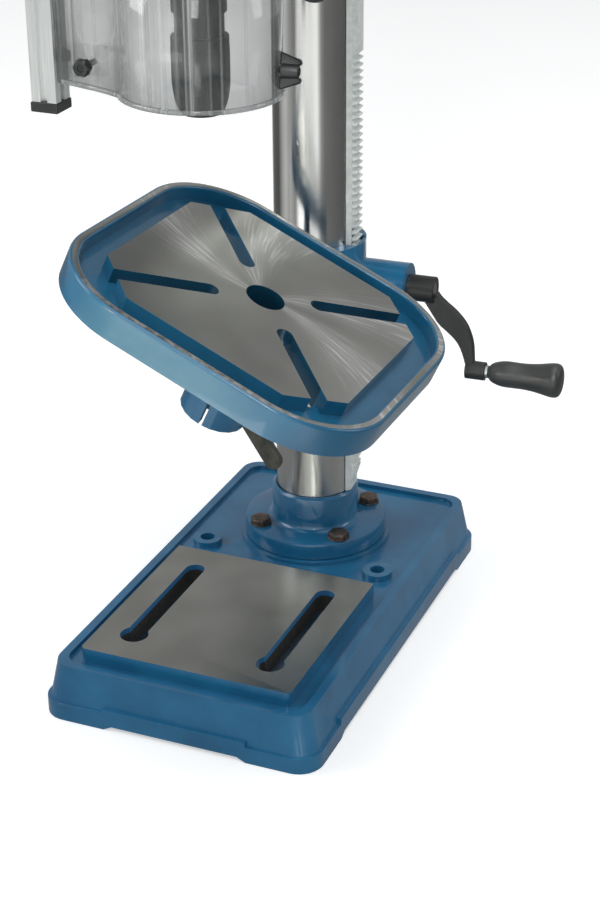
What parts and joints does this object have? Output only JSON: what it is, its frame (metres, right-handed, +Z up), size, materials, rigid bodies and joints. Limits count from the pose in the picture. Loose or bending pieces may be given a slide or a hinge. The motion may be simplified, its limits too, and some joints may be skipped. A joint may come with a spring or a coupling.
{
  "type": "pillar drill",
  "caption": "Pillar drill: a slotted base and steel column carry a rack-raised table that swings, tilts and turns under a guarded chuck, with a side crank.",
  "frame": {"origin": "the column's axis at the bench plane, under the base", "axes": "+Z up along the column, -Y towards the spindle and the operator, +X to the side of the crank"},
  "size_m": [0.3774, 0.6147, 0.9729],
  "materials": {
    "base": "gloss blue paint, ground pad",
    "column_flange": "gloss blue paint",
    "column": "polished steel tube",
    "rack_ring": "bright zinc",
    "rack": "bright zinc",
    "table_bracket": "gloss blue paint",
    "lift_gear": "machined steel",
    "gear_pin": "ground steel",
    "worm_shaft": "ground steel",
    "crank_arm": "black paint",
    "crank_grip": "black moulded plastic",
    "column_clamp_lever": "black paint",
    "tilt_arm": "gloss blue paint",
    "tilt_bolt": "black oxide",
    "ring_clamp_screw": "black oxide",
    "table": "gloss blue paint, ground pad and rim",
    "head_casting": "gloss blue paint",
    "quill": "ground steel",
    "lower_bearing": "ground steel",
    "upper_bearing": "ground steel",
    "spindle": "ground steel",
    "chuck_body": "black oxide",
    "chuck_sleeve": "black oxide",
    "feed_hub": "turned steel",
    "depth_collar": "bright zinc",
    "spring_cover": "black paint",
    "spindle_pulley": "cast and turned",
    "motor_pulley": "cast and turned",
    "drive_belt": "matt rubber",
    "belt_housing": "gloss blue paint",
    "belt_cover": "gloss blue paint",
    "lid_knob": "black plastic",
    "motor": "gloss blue paint",
    "motor_plate": "black paint",
    "slide_rod_left": "ground steel",
    "slide_rod_right": "ground steel",
    "tension_lock_knob": "black plastic",
    "switch_box": "black plastic",
    "start_button": "green plastic",
    "stop_button": "red plastic",
    "guard_bracket": "black paint",
    "guard_post": "anodised extrusion",
    "post_end_cap": "black plastic",
    "guard_slider": "black plastic",
    "guard_shield": "clear polycarbonate",
    "guard_screw": "black plastic",
    "guard_wing_nut": "black plastic",
    "flange_bolt_1": "black oxide",
    "flange_bolt_2": "black oxide",
    "flange_bolt_3": "black oxide",
    "flange_bolt_4": "black oxide",
    "chuck_jaw_1": "hardened steel",
    "feed_arm_1": "chrome plate",
    "feed_knob_1": "black plastic",
    "chuck_jaw_2": "hardened steel",
    "feed_arm_2": "chrome plate",
    "feed_knob_2": "black plastic",
    "chuck_jaw_3": "hardened steel",
    "feed_arm_3": "chrome plate",
    "feed_knob_3": "black plastic"
  },
  "bodies": {
    "stand": {"base": "base", "column_flange": "column_flange", "flange_bolt_1": "flange_bolt_1", "flange_bolt_2": "flange_bolt_2", "flange_bolt_3": "flange_bolt_3", "flange_bolt_4": "flange_bolt_4", "column": "column", "rack_ring": "rack_ring", "head_casting": "head_casting", "spring_cover": "spring_cover", "belt_housing": "belt_housing", "drive_belt": "drive_belt", "switch_box": "switch_box", "guard_bracket": "guard_bracket"},
    "rack_carrier": {"rack": "rack"},
    "bracket": {"table_bracket": "table_bracket", "gear_pin": "gear_pin"},
    "gear": {"lift_gear": "lift_gear"},
    "crank": {"worm_shaft": "worm_shaft", "crank_arm": "crank_arm"},
    "grip": {"crank_grip": "crank_grip"},
    "clamp_lever": {"column_clamp_lever": "column_clamp_lever"},
    "arm": {"tilt_arm": "tilt_arm", "tilt_bolt": "tilt_bolt", "ring_clamp_screw": "ring_clamp_screw"},
    "table": {"table": "table"},
    "quill": {"quill": "quill", "lower_bearing": "lower_bearing", "upper_bearing": "upper_bearing"},
    "spindle": {"spindle": "spindle", "chuck_body": "chuck_body", "chuck_jaw_1": "chuck_jaw_1", "chuck_jaw_2": "chuck_jaw_2", "chuck_jaw_3": "chuck_jaw_3"},
    "chuck_sleeve": {"chuck_sleeve": "chuck_sleeve"},
    "feed": {"feed_hub": "feed_hub", "feed_arm_1": "feed_arm_1", "feed_arm_2": "feed_arm_2", "feed_arm_3": "feed_arm_3", "feed_knob_1": "feed_knob_1", "feed_knob_2": "feed_knob_2", "feed_knob_3": "feed_knob_3"},
    "depth_collar": {"depth_collar": "depth_collar"},
    "spindle_pulley": {"spindle_pulley": "spindle_pulley"},
    "motor": {"motor": "motor", "motor_plate": "motor_plate", "slide_rod_left": "slide_rod_left", "slide_rod_right": "slide_rod_right"},
    "motor_pulley": {"motor_pulley": "motor_pulley"},
    "tension_lock": {"tension_lock_knob": "tension_lock_knob"},
    "lid": {"belt_cover": "belt_cover", "lid_knob": "lid_knob"},
    "start": {"start_button": "start_button"},
    "stop": {"stop_button": "stop_button"},
    "guard_post": {"guard_post": "guard_post", "post_end_cap": "post_end_cap"},
    "guard": {"guard_shield": "guard_shield", "guard_slider": "guard_slider"},
    "guard_screw": {"guard_screw": "guard_screw"},
    "wing_nut": {"guard_wing_nut": "guard_wing_nut"}
  },
  "joints": [
    {"name": "table_swing", "type": "hinge", "parent": "stand", "child": "rack_carrier", "pos_m": [0, 0, 0.3], "axis": [0, 0, 1], "continuous": true},
    {"name": "table_lift", "type": "slide", "parent": "rack_carrier", "child": "bracket", "axis": [0, 0, 1], "range_m": [-0.06, 0.095]},
    {"name": "lift_gear_turn", "type": "hinge", "parent": "bracket", "child": "gear", "pos_m": [0.05316, 0.00309, 0.292], "axis": [-0.0581, 0.9983, 0], "range_deg": [-455, 288]},
    {"name": "crank_turn", "type": "hinge", "parent": "bracket", "child": "crank", "pos_m": [0.0599, 0.00348, 0.311], "axis": [0.9983, 0.0581, 0], "range_deg": [-3439, 5445]},
    {"name": "crank_grip_turn", "type": "hinge", "parent": "crank", "child": "grip", "pos_m": [0.19467, 0.01133, 0.2378], "axis": [0.9983, 0.0581, 0], "continuous": true},
    {"name": "clamp_lever_turn", "type": "hinge", "parent": "bracket", "child": "clamp_lever", "pos_m": [-0.06939, -0.06414, 0.232], "axis": [0.0581, -0.9983, 0], "range_deg": [-60, 30]},
    {"name": "table_tilt", "type": "hinge", "parent": "bracket", "child": "arm", "pos_m": [0, 0, 0.2983], "axis": [-0.0581, 0.9983, 0], "range_deg": [-69.5, 20.5]},
    {"name": "table_turn", "type": "hinge", "parent": "arm", "child": "table", "pos_m": [0.01237, -0.22466, 0.29675], "axis": [0.414, 0.0241, 0.91], "continuous": true},
    {"name": "quill_feed", "type": "slide", "parent": "stand", "child": "quill", "axis": [0, 0, -1], "range_m": [0, 0.08]},
    {"name": "spindle_spin", "type": "hinge", "parent": "quill", "child": "spindle", "pos_m": [0, -0.225, 0.7], "axis": [0, 0, 1], "continuous": true},
    {"name": "chuck_sleeve_turn", "type": "hinge", "parent": "spindle", "child": "chuck_sleeve", "pos_m": [0, -0.225, 0.56], "axis": [0, 0, 1], "continuous": true},
    {"name": "feed_turn", "type": "hinge", "parent": "stand", "child": "feed", "pos_m": [0.08, -0.186, 0.752], "axis": [1, 0, 0], "range_deg": [-1, 329]},
    {"name": "depth_collar_turn", "type": "hinge", "parent": "stand", "child": "depth_collar", "pos_m": [0.066, -0.186, 0.752], "axis": [1, 0, 0], "range_deg": [-180, 180]},
    {"name": "spindle_pulley_spin", "type": "hinge", "parent": "stand", "child": "spindle_pulley", "pos_m": [0, -0.225, 0.9], "axis": [0, 0, 1], "continuous": true},
    {"name": "motor_slide", "type": "slide", "parent": "stand", "child": "motor", "axis": [0, -1, 0], "range_m": [0, 0.012]},
    {"name": "motor_pulley_spin", "type": "hinge", "parent": "motor", "child": "motor_pulley", "pos_m": [0, 0.165, 0.9], "axis": [0, 0, 1], "continuous": true},
    {"name": "tension_lock_turn", "type": "hinge", "parent": "stand", "child": "tension_lock", "pos_m": [0.08, 0.04, 0.8], "axis": [1, 0, 0], "range_deg": [-180, 180]},
    {"name": "lid_open", "type": "hinge", "parent": "stand", "child": "lid", "pos_m": [-0.0903, 0, 0.89845], "axis": [0, -1, 0], "range_deg": [0, 100]},
    {"name": "start_press", "type": "slide", "parent": "stand", "child": "start", "axis": [0, 1, 0], "range_m": [0, 0.0035], "stiffness_N_per_m": 400, "springref_m": -0.002},
    {"name": "stop_press", "type": "slide", "parent": "stand", "child": "stop", "axis": [0, 1, 0], "range_m": [0, 0.0035], "stiffness_N_per_m": 400, "springref_m": -0.002},
    {"name": "guard_swing", "type": "hinge", "parent": "stand", "child": "guard_post", "pos_m": [-0.129, -0.231, 0.6], "axis": [0, 0, 1], "range_deg": [-100, 0]},
    {"name": "guard_slide", "type": "slide", "parent": "guard_post", "child": "guard", "axis": [0, 0, 1], "range_m": [-0.022, 0.002]},
    {"name": "guard_screw_turn", "type": "hinge", "parent": "guard", "child": "guard_screw", "pos_m": [-0.0855, -0.25, 0.5595], "axis": [0, 1, 0], "continuous": true},
    {"name": "wing_nut_turn", "type": "hinge", "parent": "guard", "child": "wing_nut", "pos_m": [0.06437, -0.21595, 0.562], "axis": [0.9903, 0.1392, 0], "continuous": true}
  ],
  "couplings": [
    {"joint": "lift_gear_turn", "follows": "table_lift", "rad_per_m": -83.333},
    {"joint": "crank_turn", "follows": "table_lift", "rad_per_m": 1000},
    {"joint": "feed_turn", "follows": "quill_feed", "rad_per_m": 71.429},
    {"joint": "spindle_pulley_spin", "follows": "spindle_spin", "ratio": 1},
    {"joint": "motor_pulley_spin", "follows": "spindle_spin", "ratio": 1.8148}
  ]
}
